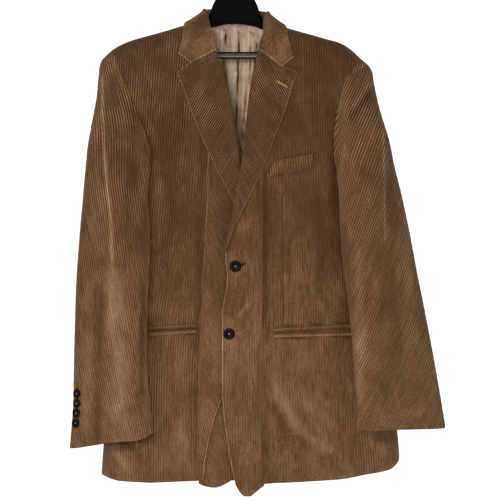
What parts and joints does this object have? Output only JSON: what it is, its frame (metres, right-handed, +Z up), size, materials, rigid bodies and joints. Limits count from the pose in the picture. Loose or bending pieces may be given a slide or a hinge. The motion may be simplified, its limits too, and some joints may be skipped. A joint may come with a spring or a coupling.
{
  "type": "blazer on a suit hanger",
  "caption": "Single-breasted wide-wale corduroy blazer hanging flat on a broad suit hanger, with notched lapels, a breast welt and welted hip pockets.",
  "frame": {"origin": "inside top of the hanger's hook, where a rod or wall hook holds it", "axes": "+Z up, -Y out of the blazer's front, +X towards the wearer's left"},
  "size_m": [0.6483, 0.1512, 0.9679],
  "materials": {
    "corduroy": "brown wide-wale cotton corduroy",
    "satin_lining": "beige satin, softly glossy",
    "horn_button": "dark brown imitation horn, polished",
    "hanger_plastic": "black, satin",
    "bar_plastic": "black, polished",
    "hook_steel": "bright wire"
  },
  "bodies": {
    "root": {"front_right": "corduroy", "front_left": "corduroy", "side_right": "corduroy", "side_left": "corduroy", "back_right": "corduroy", "back_left": "corduroy", "top_sleeve_right": "corduroy", "top_sleeve_left": "corduroy", "under_sleeve_right": "corduroy", "under_sleeve_left": "corduroy", "lapel_right": "corduroy", "lapel_left": "corduroy", "collar": "corduroy", "breast_welt": "corduroy", "hip_welt_upper_right": "corduroy", "hip_welt_lower_right": "corduroy", "hip_welt_upper_left": "corduroy", "hip_welt_lower_left": "corduroy", "back_lining": "satin_lining", "front_button_upper": "horn_button", "front_button_lower": "horn_button", "sleeve_button_right_1": "horn_button", "sleeve_button_right_2": "horn_button", "sleeve_button_right_3": "horn_button", "sleeve_button_right_4": "horn_button", "sleeve_button_left_1": "horn_button", "sleeve_button_left_2": "horn_button", "sleeve_button_left_3": "horn_button", "sleeve_button_left_4": "horn_button", "hanger_body": "hanger_plastic", "hanger_bar": "bar_plastic", "hanger_hook": "hook_steel"}
  },
  "joints": []
}
